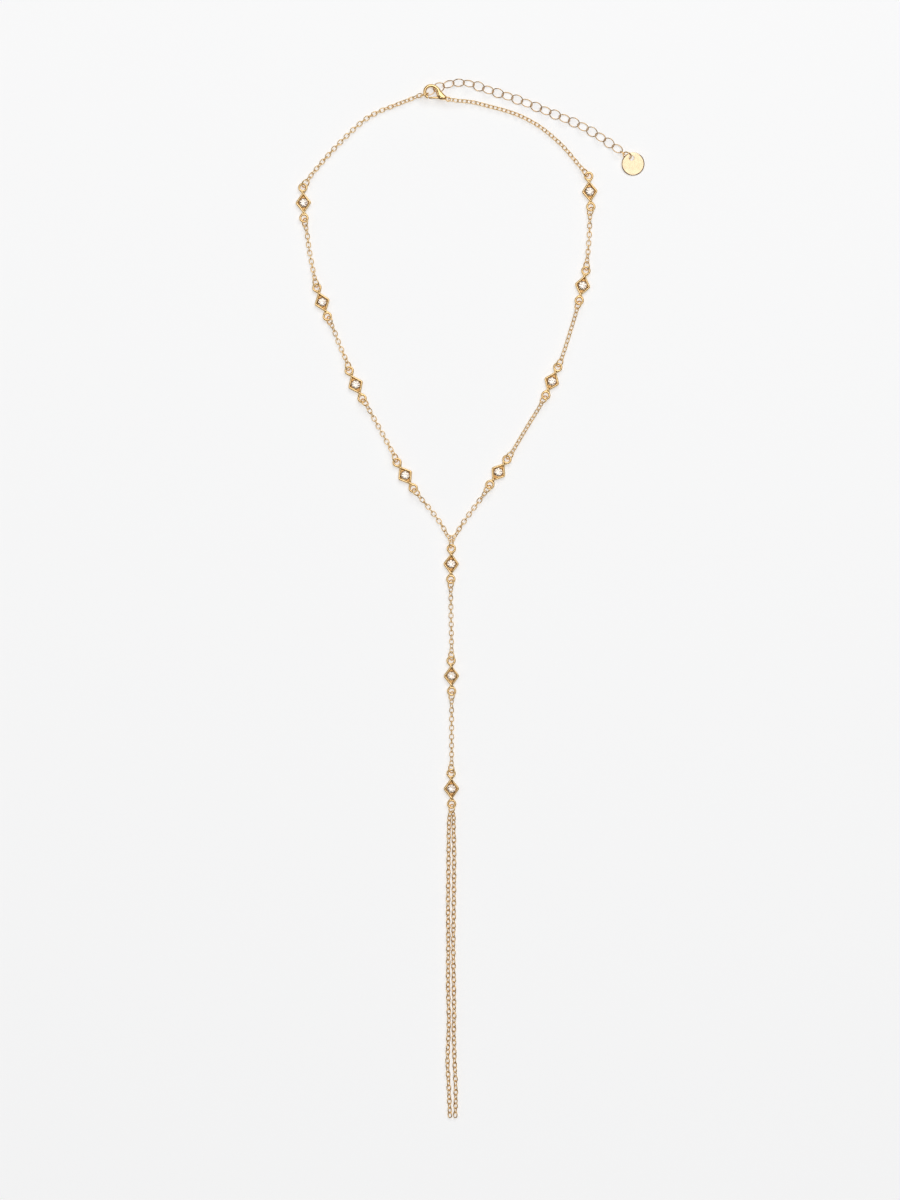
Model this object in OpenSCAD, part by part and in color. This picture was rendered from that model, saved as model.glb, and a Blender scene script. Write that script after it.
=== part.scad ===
// Y necklace laid flat: a closed neck loop, a straight drop with three settings and a tassel of
// two chain strands, a lobster clasp, and an extender chain with a bare disc tag.
// Z is up, and the necklace lies on Z = 0.

/* [Fine chain] */
// Outer length of a fine link
link_length = 2.47; // [2.35:0.01:2.8]
// Outer width of a fine link
link_width = 1.85; // [1.75:0.05:2.1]
// Wire thickness of a fine link
link_wire = 0.35; // [0.3:0.01:0.37]

/* [Jump rings] */
// Outer diameter of a jump ring
jump_outer = 3.6; // [3.5:0.05:3.8]
// Wire thickness of a jump ring
jump_wire = 0.5; // [0.45:0.01:0.52]
// How far a jump ring leans from lying flat
jump_lean = 52; // [50:1:58]

/* [Settings] */
// Width of the lozenge across its side corners
setting_width = 5.7; // [5.6:0.1:6.4]
// Distance between the centres of a setting's two eyes
eye_spacing = 11.1; // [10.9:0.1:11.6]
// Outer diameter of an eye
eye_outer = 3.5; // [3.4:0.05:3.55]
// Diameter of the hole in an eye
eye_hole = 1.8; // [1.75:0.05:1.9]
// Thickness of the raised rim's two strands
rim_wire = 0.8; // [0.7:0.02:0.82]
// Height of the recessed floor between the strands
floor_height = 1.25; // [1.15:0.05:1.35]

/* [Stones] */
// Diameter of a stone at its girdle
stone_width = 3; // [2.7:0.05:3.02]
// Height of a stone above its girdle
crown_height = 0.45; // [0.35:0.05:0.6]
// Width of the table, as a share of the stone
table_share = 0.56; // [0.5:0.02:0.62]

/* [Extender] */
// Outer length of an extender link
extender_length = 4.6; // [4.5:0.05:4.8]
// Outer width of an extender link
extender_width = 3.7; // [3.5:0.05:3.9]
// Wire thickness of an extender link
extender_wire = 0.38; // [0.34:0.01:0.42]

/* [Disc tag] */
// Diameter of the tag
tag_width = 8.4; // [8:0.1:8.6]
// Thickness of the tag
tag_thickness = 0.4; // [0.35:0.01:0.42]
// Diameter of the hole in the tag
tag_hole = 1.8; // [1.75:0.05:1.95]
// Width of metal between the hole and the tag's edge
tag_edge = 1.15; // [1.05:0.05:1.2]

/* [Clasp] */
// Diameter of the opening inside the hook
clasp_opening = 3.3; // [3.2:0.05:3.5]
// Thickness of the hook's bar
hook_bar = 1.25; // [1.1:0.05:1.3]
// Distance from the middle of the opening to the middle of the tail eye
clasp_reach = 6.8; // [6.6:0.1:7.2]
// Thickness of the clasp's body
clasp_thickness = 1.8; // [1.7:0.05:2]
// Thickness of the lever
lever_thickness = 0.7; // [0.6:0.05:0.8]
// Diameter of the lever's pin
pin_width = 0.5; // [0.4:0.05:0.6]

/* [Fit] */
// Clearance between two pieces that hang in each other
play = 0.12; // [0.1:0.01:0.12]
// Clearance round a stone in its seat
seat_gap = 0.05; // [0.03:0.01:0.06]

/* [Hidden] */
$fn = 72;
wire_fn = 24;
gold = "#dbc7ad";
crystal = "#eef2f4";
polished_gold = "#ead6ae";

floor_gap = 0.03;
eye_bar = (eye_outer - eye_hole) / 2;
eye_radius = (eye_outer + eye_hole) / 4;
rim_height = 1.2;
base_thickness = 0.15;
side_corner = (setting_width - rim_wire) / 2;
corner_ball = 1.08 * rim_wire;
stone_radius = stone_width / 2;
bore_radius = 0.86 * stone_radius;
girdle_height = floor_height + 0.05;
girdle_thickness = 0.1;
culet_height = base_thickness + 0.1;
seat_ledge = floor_height - 0.2;

ring_radius = (jump_outer - jump_wire) / 2;
ring_height = ring_radius * sin(jump_lean) + jump_wire / 2 + floor_gap;
chain_height = link_width / 2 + floor_gap;
ring_slack = 0.3;
ring_step = jump_outer - 2 * jump_wire - ring_slack;
eye_slack = 0.24;
link_step = link_length - 2 * link_wire - play;
extender_step = extender_length - 2 * extender_wire - play;
strand_width = (link_width - link_wire) * cos(45) + link_wire;
strand_rings = 2.5;
hook_roll = -47;
strand_sides = 8;
fall_per_link = 0.26;

joining_ring_outer = 2.7;
joining_ring_wire = 0.4;

// Middle of the clasp's opening, its height, and the way to its tail
CLASP = [-13.7, 184.9];
clasp_height = 2.27;
clasp_turn = -22.7;
hook_radius = (clasp_opening + hook_bar) / 2;
hook_start = 35;
hook_end = 268;
tail_outer = 2;
tail_bar = 0.45;
tail_reach = 0.2;
// Outline of the clasp's body, from its middle opening
CLASP_PLATE = [[0.9, 2.75], [1.6, 2.65], [5.9, 0.75], [6.1, -0.6], [4.6, -1.4],
               [3.7, -1.35], [2.4, -0.5], [1, 1]];
pivot = [4.1, -0.55];
lever_eye = 1.5;
lever_width = 0.8;
lever_open = 24;
lever_steps = 6;

// Middle and tilt of the end ring in the hook
END_RING = [[-16.128, 184.075, 1.866], [74.73, 5.547, 196.495]];
// Where the first chain link and the first extender links meet it and each other
FIRST_LINK = [-17.13, 183.98, 1.46];
EXTENDER_START = [[-16.123, 184.846, 0.847], [-12.62, 186.156, 0.853], [-9.118, 187.465, 0.947],
                  [-5.53, 188.36, 1.49], [-1.79, 188.48, 1.47], [1.87, 187.83, 1.1]];
EXTENDER_ROLLS = [-21.9, 23.2, -33.1, 49.2, -36.7];
extender_roll = 28;

// Middle of the whole necklace's box on the floor, which all pieces are moved back by
MIDDLE = [0.584, 0.878];

// Middle of each setting, and its turn from upright
SETTINGS = [
    [-60.1, 144.8, 2],
    [-53.3, 108.7, 20],
    [-41.1, 78.7, 25],
    [-23.1, 45.7, 32],
    [44, 148.9, 4],
    [41.4, 114.7, -12.5],
    [30.2, 79.9, -23],
    [10.8, 46.9, -34],
    [-6.4, 13.5, -1],
    [-6.3, -27.2, 1],
    [-6.3, -68.2, 1]
];

// What a run of chain ends on: the reach from its centre to where the wires meet, the jump rings
// that it takes, the height where the wires meet, and the height of the next meeting
EYE = [(eye_hole - play) / 2 - eye_slack, 1, rim_height, 2 * ring_height - rim_height];
JOINING_RING = [0.69, 0, 1.29, chain_height];
CLASP_RING = [0, 0, FIRST_LINK.z, FIRST_LINK.z - fall_per_link];
TAIL_EYE = [tail_reach, 0, clasp_height, clasp_height - fall_per_link];

function turned(v, angle) = [v.x * cos(angle) - v.y * sin(angle), v.x * sin(angle) + v.y * cos(angle)];
function flat(v) = [v.x, v.y];
function eye_place(setting, end) =
    flat(SETTINGS[setting]) + turned([0, end * eye_spacing / 2], SETTINGS[setting][2]);

joining_height = 1.22;
joining_offset = [0.06, 3.6];
joining_place = eye_place(8, 1) + joining_offset;
tail_place = CLASP + turned([clasp_reach, 0], clasp_turn);

// Routes of the fine chain, as points between the two pieces that each run ends on
LEFT_TOP = [[-18.65, 183.55], [-21.4, 182.4], [-27.4, 180.1], [-33.5, 177.6], [-39, 174.1],
            [-48, 165.5], [-56.1, 156.3]];
LEFT_2 = [[-58.9, 134.7], [-58, 127.8], [-56.3, 119]];
LEFT_3 = [[-49.3, 99.3], [-46.9, 93], [-44.3, 87]];
LEFT_4 = [[-35.8, 68.9], [-31, 60.2], [-27.3, 53.4]];
LEFT_5 = [[-18, 38.1], [-14, 33.4], [-9.6, 27.4], [-7.95, 24.1]];
RIGHT_TOP = [[-3.8, 181.8], [1.1, 181.5], [7.6, 179.9], [13.9, 178.2], [19.3, 176.2], [25.5, 172.8],
             [30.7, 168.7], [35.3, 164.3], [41.3, 157]];
RIGHT_2 = [[44.1, 140], [43.8, 132], [43.1, 124]];
RIGHT_3 = [[39, 104.8], [36.7, 97.2], [34, 88.8]];
RIGHT_4 = [[26, 71], [21.3, 63.4], [16.1, 54.7]];
RIGHT_5 = [[5.9, 39.3], [0.2, 31.6], [-3, 27], [-4.7, 24]];
DROP_1 = [[-6.5, 3], [-6.4, -7], [-6.2, -17]];
DROP_2 = [[-6.2, -38], [-6.2, -48], [-6.2, -58]];
STRAND_1 = [[-7.2, -82], [-7.3, -91], [-7.4, -101], [-7.5, -111], [-7.4, -125], [-7.5, -139], [-7.2, -152],
            [-7.4, -159], [-7.7, -168], [-7.3, -175], [-6.8, -188]];
STRAND_2 = [[-5.5, -82], [-5.3, -91], [-5.4, -111], [-5.6, -125], [-5.4, -139], [-5.3, -150], [-5.4, -158],
            [-5.1, -168], [-4.7, -178], [-4.9, -188]];
// Where a jump ring meets its eye and what hangs in it, from the eye's middle: along, across, height
JOINING_HANG = [[0.74, 0, rim_height], [2.6, 0.1, 2.04]];
TASSEL_HANG = [[0.6, 0, rim_height], [2.3, 0.03, 1.66]];
// Where the first link of each strand meets the tassel's ring and the next link, from the last eye:
// down, across and height
HOOK_1 = [[2.85, -0.27, 1.42], [4.38, -0.8, 1.19]];
HOOK_2 = [[2.74, 0.2, 2.08], [4.2, 0.8, 1.71]];
EXTENDER = [[7.4, 185.75, 1.05], [14.8, 183.4, 1.05],
            [22.1, 180.7, 1.05], [29.2, 177.8, 1.05], [36.1, 175, 1.05], [42.6, 172, 1.05],
            [49.3, 167.8, 1.05], [52.5, 165.5, 1.2], [55.57, 163.47, 1.47]];

// Middle and tilt of the tag's small link, of its ring, and of the hole in the tag
TAG_LINK = [[55.94, 162.91, 1.66], [-74.5, -2.6, -36.1]];
TAG_RING = [[57.6, 161.95, 1.62], [54, 7.3, -31.4]];
TAG_HOLE = [[59.2, 161, 1.4], [10, 0, 15]];

// Each run of real links: the piece at its start, the piece at its end, how each one is met,
// the rolls of its first and last pieces, the extra roll at its middle, and its route
RUNS = [
    [flat(FIRST_LINK), eye_place(0, 1), CLASP_RING, EYE, 14.5, 45, 45, LEFT_TOP],
    [eye_place(0, -1), eye_place(1, 1), EYE, EYE, 45, 45, 45, LEFT_2],
    [eye_place(1, -1), eye_place(2, 1), EYE, EYE, 45, 45, 45, LEFT_3],
    [eye_place(2, -1), eye_place(3, 1), EYE, EYE, -45, -45, 45, LEFT_4],
    [eye_place(3, -1), joining_place, EYE, JOINING_RING, -45, -45, 45, LEFT_5],
    [tail_place, eye_place(4, 1), TAIL_EYE, EYE, 60, 45, 0, RIGHT_TOP],
    [eye_place(4, -1), eye_place(5, 1), EYE, EYE, 45, 45, 45, RIGHT_2],
    [eye_place(5, -1), eye_place(6, 1), EYE, EYE, 45, 45, 0, RIGHT_3],
    [eye_place(6, -1), eye_place(7, 1), EYE, EYE, 45, 45, 0, RIGHT_4],
    [eye_place(7, -1), joining_place, EYE, JOINING_RING, 45, 45, 45, RIGHT_5],
    [eye_place(8, -1), eye_place(9, 1), EYE, EYE, 45, 45, 0, DROP_1],
    [eye_place(9, -1), eye_place(10, 1), EYE, EYE, 45, 45, 0, DROP_2]
];

// A smooth curve through a list of points
function bent(a, b, c, d, t) =
    ((-t + 2 * t * t - t * t * t) * a + (2 - 5 * t * t + 3 * t * t * t) * b
    + (t + 4 * t * t - 3 * t * t * t) * c + (t * t * t - t * t) * d) / 2;
function smooth(points, steps = 6) =
    let (last = len(points) - 1)
    [for (i = [0 : last - 1], k = [0 : steps - 1])
        bent(points[max(i - 1, 0)], points[i], points[i + 1], points[min(i + 2, last)], k / steps),
     points[last]];

// Length along a curve at each of its points, and the place at a given length
function travelled(path) =
    [for (i = 0, total = 0; i < len(path);
          total = total + (i + 1 < len(path) ? norm(path[i + 1] - path[i]) : 0), i = i + 1) total];
function along(path, table, s) =
    [for (axis = [0 : len(path[0]) - 1])
        lookup(s, [for (i = [0 : len(path) - 1]) [table[i], path[i][axis]]])];

// Lengths at which the pieces of a run meet: its jump rings take their own step, and its links
// share what is left
function meetings(total, start, finish) =
    let (free = total - start[0] - finish[0] - ring_step * (start[1] + finish[1]),
         count = ceil(free / link_step),
         step = free / count,
         first = start[0] + ring_step * start[1])
    concat(start[1] == 1 ? [start[0]] : [],
           [for (k = [0 : count]) first + k * step],
           finish[1] == 1 ? [total - finish[0]] : []);

// Height where two pieces meet, counted in pieces from one end
function height_from(end, count) =
    count == 0 ? end[2] : max(chain_height, end[3] - (count - 1) * fall_per_link);
function meeting_height(start, finish, k, last) =
    k == 0 ? start[2] : k == last ? finish[2]
    : max(height_from(start, k), height_from(finish, last - k));

function run_meetings(run) =
    let (path = smooth(concat([run[0]], run[7], [run[1]])),
         table = travelled(path),
         places = meetings(table[len(table) - 1], run[2], run[3]),
         last = len(places) - 1)
    [for (k = [0 : last])
        let (p = along(path, table, places[k])) [p.x, p.y, meeting_height(run[2], run[3], k, last)]];

// Puts its child's middle between two points, with its length along them and a roll about it
module between(a, b, roll) {
    d = b - a;
    translate((a + b) / 2)
        rotate([roll, -atan2(d.z, norm(flat(d))), atan2(d.y, d.x)])
            children();
}

module wire_ring(outer, wire) {
    rotate_extrude()
        translate([(outer - wire) / 2, 0])
            circle(d = wire, $fn = wire_fn);
}

module oval_link(length, width, wire) {
    bend = (width - wire) / 2;
    side = length - width;
    for (end = [0, 180])
        rotate([0, 0, end]) {
            translate([side / 2, 0, 0])
                rotate([0, 0, -90])
                    rotate_extrude(angle = 180)
                        translate([bend, 0])
                            circle(d = wire, $fn = wire_fn);
            translate([-side / 2, bend, 0])
                rotate([0, 90, 0])
                    cylinder(d = wire, h = side, $fn = wire_fn);
        }
}

module fine_link() {
    oval_link(link_length, link_width, link_wire);
}

// One run of chain: jump rings at its settings, and links in between, each turned across its
// neighbours. A run whose middle is a tube leaves out the links between its second and its last
module run_pieces(run, tube = false) {
    p = run_meetings(run);
    last = len(p) - 2;
    for (k = tube ? [0, 1, last - 1, last] : [0 : last]) {
        roll = run[4] + (run[5] - run[4]) * k / last + 90 * k + run[6] * sin(180 * k / last);
        if ((k == 0 && run[2][1] == 1) || (k == last && run[3][1] == 1))
            between(p[k], p[k + 1], roll + sign(sin(2 * roll)) * (jump_lean - 45))
                wire_ring(jump_outer, jump_wire);
        else
            between(p[k], p[k + 1], roll)
                fine_link();
    }
}

// A closed tube swept along level points, which stands for a strand of the finest chain
module strand_tube(points) {
    last = len(points) - 1;
    heading = [for (i = [0 : last]) let (d = points[min(i + 1, last)] - points[max(i - 1, 0)]) d / norm(d)];
    ring = [for (i = [0 : last], k = [0 : strand_sides - 1])
        let (a = 360 * (k + 0.5) / strand_sides, r = strand_width / 2 / cos(180 / strand_sides))
        points[i] + r * [-heading[i].y * cos(a), heading[i].x * cos(a), sin(a)]];
    side_faces = [for (i = [0 : last - 1], k = [0 : strand_sides - 1])
        let (n = (k + 1) % strand_sides, base = i * strand_sides)
        [base + k, base + strand_sides + k, base + strand_sides + n, base + n]];
    start_face = [for (k = [0 : strand_sides - 1]) k];
    end_face = [for (k = [strand_sides - 1 : -1 : 0]) last * strand_sides + k];
    polyhedron(ring, concat(side_faces, [start_face, end_face]));
}

function tube_points(path, from, to) =
    let (table = travelled(path),
         count = ceil((to - from) / (strand_rings * strand_width)))
    [for (k = [0 : count]) along(path, table, from + (to - from) * k / count)];

// A run whose middle is a tube, with a real link at each end that hangs in the jump ring
module tube_run(run) {
    p = run_meetings(run);
    last = len(p) - 1;
    margin = link_wire + 2 * play;
    run_pieces(run, true);
    middle = [for (k = [2 : last - 2]) [p[k].x, p[k].y, p[k].z]];
    table = travelled(middle);
    strand_tube(tube_points(middle, margin, table[len(table) - 1] - margin));
}

module setting_shape() {
    strand_angle = atan2(side_corner, eye_spacing / 2)
        + asin(eye_radius / norm([side_corner, eye_spacing / 2]));
    strand_length = sqrt(pow(side_corner, 2) + pow(eye_spacing / 2, 2) - pow(eye_radius, 2));
    crossing = side_corner / tan(strand_angle);
    difference() {
        union() {
            for (end = [0, 180])
                rotate([0, 0, end]) {
                    translate([0, eye_spacing / 2, rim_height])
                        wire_ring(eye_outer, eye_bar);
                    for (side = [-1, 1])
                        translate([side * side_corner, 0, rim_height])
                            rotate([0, 0, side * strand_angle])
                                rotate([-90, 0, 0])
                                    cylinder(d = rim_wire, h = strand_length);
                    translate([side_corner, 0, rim_height])
                        sphere(d = corner_ball);
                }
            linear_extrude(floor_height)
                polygon([[side_corner, 0], [0, crossing], [-side_corner, 0], [0, -crossing]]);
        }
        translate([0, 0, seat_ledge])
            cylinder(r = stone_radius + seat_gap, h = rim_height + rim_wire);
        translate([0, 0, base_thickness])
            cylinder(r = bore_radius, h = rim_height);
    }
}

// A round stone with a table, eight crown facets and their halves, and a pointed back
module stone_shape() {
    table_height = girdle_height + girdle_thickness + crown_height;
    table_ring = [for (i = [0 : 7])
        concat(turned([stone_radius * table_share, 0], 45 * i), [table_height])];
    top_ring = [for (i = [0 : 15])
        concat(turned([stone_radius, 0], 22.5 * i), [girdle_height + girdle_thickness])];
    low_ring = [for (i = [0 : 15]) concat(turned([stone_radius, 0], 22.5 * i), [girdle_height])];
    top = 8;
    low = 24;
    culet = 40;
    faces = concat(
        [[for (i = [7 : -1 : 0]) i]],
        [for (i = [0 : 7]) [i, top + 2 * i, top + (2 * i + 15) % 16]],
        [for (i = [0 : 7]) [i, top + 2 * i + 1, top + 2 * i]],
        [for (i = [0 : 7]) [i, (i + 1) % 8, top + 2 * i + 1]],
        [for (i = [0 : 15]) [top + i, top + (i + 1) % 16, low + (i + 1) % 16, low + i]],
        [for (i = [0 : 15]) [low + i, low + (i + 1) % 16, culet]]);
    polyhedron(concat(table_ring, top_ring, low_ring, [[0, 0, culet_height]]), faces);
}

module laid() {
    translate([-MIDDLE.x, -MIDDLE.y, 0])
        children();
}

module setting(place) {
    color(gold)
        translate([place.x, place.y, 0])
            rotate([0, 0, place[2]])
                setting_shape();
}

module stone(place) {
    color(crystal)
        translate([place.x, place.y, 0])
            rotate([0, 0, place[2]])
                stone_shape();
}

module chain_run(index) {
    color(gold)
        run_pieces(RUNS[index]);
}

module chain_tube_run(index) {
    color(gold)
        tube_run(RUNS[index]);
}

module joining_ring() {
    color(gold)
        translate(concat(joining_place, [joining_height]))
            wire_ring(joining_ring_outer, joining_ring_wire);
}

// A jump ring between an eye and what hangs below it, from the drop from the eye's middle to where
// they meet, in [across, along, height]
module ring_below(eye, from, to, heading, lean) {
    d = (to - from) / norm(to - from);
    translate([eye.x, eye.y, 0])
        rotate([0, 0, heading])
            between(from, from + d * ring_step, lean)
                wire_ring(jump_outer, jump_wire);
}

module joining_jump_ring() {
    color(gold)
        ring_below(eye_place(8, 1), JOINING_HANG[0], JOINING_HANG[1], 89, 63.8);
}

module tassel_jump_ring() {
    color(gold)
        ring_below(eye_place(10, -1), TASSEL_HANG[0], TASSEL_HANG[1], -90, 50.7);
}

module tassel_strand(route, hook) {
    eye = eye_place(10, -1);
    first = [eye.x + hook[0].y, eye.y - hook[0].x, hook[0].z];
    second = [eye.x + hook[1].y, eye.y - hook[1].x, hook[1].z];
    path = smooth(concat([second], [for (p = route) [p.x, p.y, chain_height]]), 4);
    table = travelled(path);
    color(gold) {
        between(first, second, hook_roll)
            fine_link();
        strand_tube(tube_points(path, link_wire + 2 * play, table[len(table) - 1]));
    }
}

module at_clasp() {
    translate([CLASP.x, CLASP.y, clasp_height])
        rotate([0, 0, clasp_turn])
            children();
}

// The lever's plan when it is shut: an eye on the pin and a bar that ends at the hook's tip
module lever_plan(gap = 0) {
    tip = turned([hook_radius, 0], hook_end) + [play, 0];
    bar = tip - pivot;
    translate(pivot) {
        circle(d = lever_eye + 2 * gap);
        rotate([0, 0, atan2(bar.y, bar.x)])
            translate([0, -lever_width / 2 - gap])
                square([norm(bar) + gap, lever_width + 2 * gap]);
    }
}

module clasp_body() {
    cheek = clasp_thickness / 2;
    color(gold)
        at_clasp()
            difference() {
                union() {
                    rotate([0, 0, hook_start])
                        rotate_extrude(angle = hook_end - hook_start)
                            translate([hook_radius, 0])
                                circle(d = hook_bar);
                    translate([0, 0, -cheek])
                        linear_extrude(clasp_thickness)
                            difference() {
                                polygon(CLASP_PLATE);
                                circle(d = clasp_opening);
                            }
                    translate([clasp_reach, 0, 0])
                        wire_ring(tail_outer, tail_bar);
                }
                translate([0, 0, -lever_thickness / 2 - play])
                    linear_extrude(lever_thickness + 2 * play)
                        for (swing = [0 : lever_open / lever_steps : lever_open])
                            translate(pivot)
                                rotate([0, 0, -swing])
                                    translate(-pivot)
                                        lever_plan(play);
            }
    color(gold)
        at_clasp()
            translate([pivot.x, pivot.y, -cheek])
                cylinder(d = pin_width, h = clasp_thickness);
}

module clasp_lever() {
    color(gold)
        at_clasp()
            translate([0, 0, -lever_thickness / 2])
                linear_extrude(lever_thickness)
                    difference() {
                        lever_plan();
                        translate(pivot)
                            circle(d = pin_width + 2 * seat_gap);
                    }
}

module end_ring() {
    color(gold)
        placed_at(END_RING)
            wire_ring(jump_outer, jump_wire);
}

// Extender links on their own smooth route, leaning to either side in turn
placed = len(EXTENDER_ROLLS);
extender_path = smooth(concat([EXTENDER_START[placed]], EXTENDER));
extender_table = travelled(extender_path);
extender_rest = extender_table[len(extender_table) - 1];
extender_count = placed + ceil(extender_rest / extender_step);
function extender_meeting(k) =
    k < placed ? EXTENDER_START[k]
    : along(extender_path, extender_table, extender_rest * (k - placed) / (extender_count - placed));

module extender_chain() {
    color(gold)
        for (k = [0 : extender_count - 1])
            between(extender_meeting(k), extender_meeting(k + 1),
                    k < placed ? EXTENDER_ROLLS[k] : (k % 2 == 0 ? -1 : 1) * extender_roll)
                oval_link(extender_length, extender_width, extender_wire);
}

module placed_at(place) {
    translate(place[0])
        rotate(place[1])
            children();
}

module tag_rings() {
    color(gold) {
        placed_at(TAG_LINK)
            fine_link();
        placed_at(TAG_RING)
            wire_ring(jump_outer, jump_wire);
    }
}

module disc_tag() {
    hole_reach = tag_width / 2 - tag_edge - tag_hole / 2;
    color(polished_gold)
        placed_at(TAG_HOLE)
            translate([0, -hole_reach, 0])
                difference() {
                    cylinder(d = tag_width, h = tag_thickness, center = true);
                    translate([0, hole_reach, 0])
                        cylinder(d = tag_hole, h = 4 * tag_thickness, center = true);
                }
}

laid() setting(SETTINGS[0]);  // setting_left_1
laid() setting(SETTINGS[1]);  // setting_left_2
laid() setting(SETTINGS[2]);  // setting_left_3
laid() setting(SETTINGS[3]);  // setting_left_4
laid() setting(SETTINGS[4]);  // setting_right_1
laid() setting(SETTINGS[5]);  // setting_right_2
laid() setting(SETTINGS[6]);  // setting_right_3
laid() setting(SETTINGS[7]);  // setting_right_4
laid() setting(SETTINGS[8]);  // setting_drop_1
laid() setting(SETTINGS[9]);  // setting_drop_2
laid() setting(SETTINGS[10]);  // setting_drop_3
laid() stone(SETTINGS[0]);  // stone_left_1
laid() stone(SETTINGS[1]);  // stone_left_2
laid() stone(SETTINGS[2]);  // stone_left_3
laid() stone(SETTINGS[3]);  // stone_left_4
laid() stone(SETTINGS[4]);  // stone_right_1
laid() stone(SETTINGS[5]);  // stone_right_2
laid() stone(SETTINGS[6]);  // stone_right_3
laid() stone(SETTINGS[7]);  // stone_right_4
laid() stone(SETTINGS[8]);  // stone_drop_1
laid() stone(SETTINGS[9]);  // stone_drop_2
laid() stone(SETTINGS[10]);  // stone_drop_3
laid() chain_run(0);  // chain_left_1
laid() chain_run(1);  // chain_left_2
laid() chain_run(2);  // chain_left_3
laid() chain_run(3);  // chain_left_4
laid() chain_run(4);  // chain_left_5
laid() chain_run(5);  // chain_right_1
laid() chain_run(6);  // chain_right_2
laid() chain_run(7);  // chain_right_3
laid() chain_run(8);  // chain_right_4
laid() chain_run(9);  // chain_right_5
laid() chain_tube_run(10);  // chain_drop_1
laid() chain_tube_run(11);  // chain_drop_2
laid() joining_ring();
laid() joining_jump_ring();
laid() tassel_jump_ring();
laid() tassel_strand(STRAND_1, HOOK_1);  // tassel_strand_1
laid() tassel_strand(STRAND_2, HOOK_2);  // tassel_strand_2
laid() clasp_body();
laid() clasp_lever();
laid() end_ring();
laid() extender_chain();
laid() tag_rings();
laid() disc_tag();
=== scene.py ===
"""Dresses a Y necklace laid flat: gold-plated chain and settings, crystals, clasp and tassel."""

import math

import bmesh
import bpy
from bpy.props import FloatProperty, FloatVectorProperty, PointerProperty
from mathutils import Matrix, Vector


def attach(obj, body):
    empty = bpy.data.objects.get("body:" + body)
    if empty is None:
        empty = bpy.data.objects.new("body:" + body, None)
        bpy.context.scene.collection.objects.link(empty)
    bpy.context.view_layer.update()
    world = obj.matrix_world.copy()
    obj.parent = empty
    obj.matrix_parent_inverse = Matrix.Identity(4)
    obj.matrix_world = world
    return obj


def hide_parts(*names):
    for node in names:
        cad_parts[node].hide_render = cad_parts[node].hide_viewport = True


bl_info = {
    "name": "Y Necklace",
    "version": (1, 0, 0),
    "blender": (4, 5, 0),
    "location": "3D View > Sidebar > Necklace",
    "description": "Builds the finished look of a Y necklace round its CAD frame",
    "category": "Object",
}

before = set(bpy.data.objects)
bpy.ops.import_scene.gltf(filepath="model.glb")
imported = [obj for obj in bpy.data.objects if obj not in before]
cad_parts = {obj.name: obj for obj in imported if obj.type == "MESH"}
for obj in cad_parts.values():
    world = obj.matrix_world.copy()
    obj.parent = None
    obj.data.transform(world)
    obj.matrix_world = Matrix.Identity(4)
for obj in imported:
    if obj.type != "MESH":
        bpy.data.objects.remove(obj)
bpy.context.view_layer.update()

MM = 0.001
# Middle of the necklace's box in the millimetres that its pieces are placed in
MIDDLE = Vector((0.584, 0.878, 0))
# Middle of each setting in millimetres, and its turn from upright in degrees
SETTINGS = {
    "left_1": (-60.1, 144.8, 2),
    "left_2": (-53.3, 108.7, 20),
    "left_3": (-41.1, 78.7, 25),
    "left_4": (-23.1, 45.7, 32),
    "right_1": (44, 148.9, 4),
    "right_2": (41.4, 114.7, -12.5),
    "right_3": (30.2, 79.9, -23),
    "right_4": (10.8, 46.9, -34),
    "drop_1": (-6.4, 13.5, -1),
    "drop_2": (-6.3, -27.2, 1),
    "drop_3": (-6.3, -68.2, 1),
}
SIDE_CORNER = 2.45
EYE_REACH = 5.55
EYE_RADIUS = 1.325
EYE_BAR = 0.85
RIM_HEIGHT = 1.2
STONE_RADIUS = 1.5
GIRDLE_HEIGHT = 1.3
# Points round the casting's outlines, and round the disc tag's
BODY_POINTS = 48
TAG_POINTS = 72
# Rim strands: half thickness, and half thickness in the last few points at each end
STRAND_RADIUS = 0.4
STRAND_END_RADIUS = 0.36
# How far one strand rises and the other may sink where they cross, and over what reach
STRAND_LIFT = 0.17
STRAND_SINK = -0.1
CROSSING_REACH = 0.62
# Length of a strand that a side corner's rounding takes, and how far its line passes the corner
CORNER_ROUND = 0.4
CORNER_PAST = 0.09

# Fine chain: how far apart two links meet, and the height of a meeting on the floor
LINK_STEP = 1.65
CHAIN_HEIGHT = 0.955
# A jump ring's two meetings lie this far apart, and each next meeting of the run sinks by this much
RING_STEP = 2.3
FALL_PER_LINK = 0.26
# Leans to either side in degrees, and how much more the middle links of a drop chain turn
LINK_LEAN = 45
JUMP_LEAN = 52
DROP_TWIST = 38
# How a run meets an eye: reach from its centre, height there, and height of the next meeting
EYE_MEETING = (0.6, 1.2, 1.803)
DROP_ROUTES = {
    "chain_drop_1": ("drop_1", "drop_2", [(-6.5, 3), (-6.4, -7), (-6.2, -17)]),
    "chain_drop_2": ("drop_2", "drop_3", [(-6.2, -38), (-6.2, -48), (-6.2, -58)]),
}
# Tassel: each first link's two meetings, as down, across and height from the last eye, and a route
TASSEL_ROUTES = {
    "tassel_strand_1": (
        [(2.85, -0.27, 1.42), (4.38, -0.8, 1.19)],
        [(-7.2, -82), (-7.3, -91), (-7.4, -101), (-7.5, -111), (-7.4, -125), (-7.5, -139),
         (-7.2, -152), (-7.4, -159), (-7.7, -168), (-7.3, -175), (-6.8, -188)],
    ),
    "tassel_strand_2": (
        [(2.74, 0.2, 2.08), (4.2, 0.8, 1.71)],
        [(-5.5, -82), (-5.3, -91), (-5.4, -111), (-5.6, -125), (-5.4, -139), (-5.3, -150),
         (-5.4, -158), (-5.1, -168), (-4.7, -178), (-4.9, -188)],
    ),
}
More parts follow.
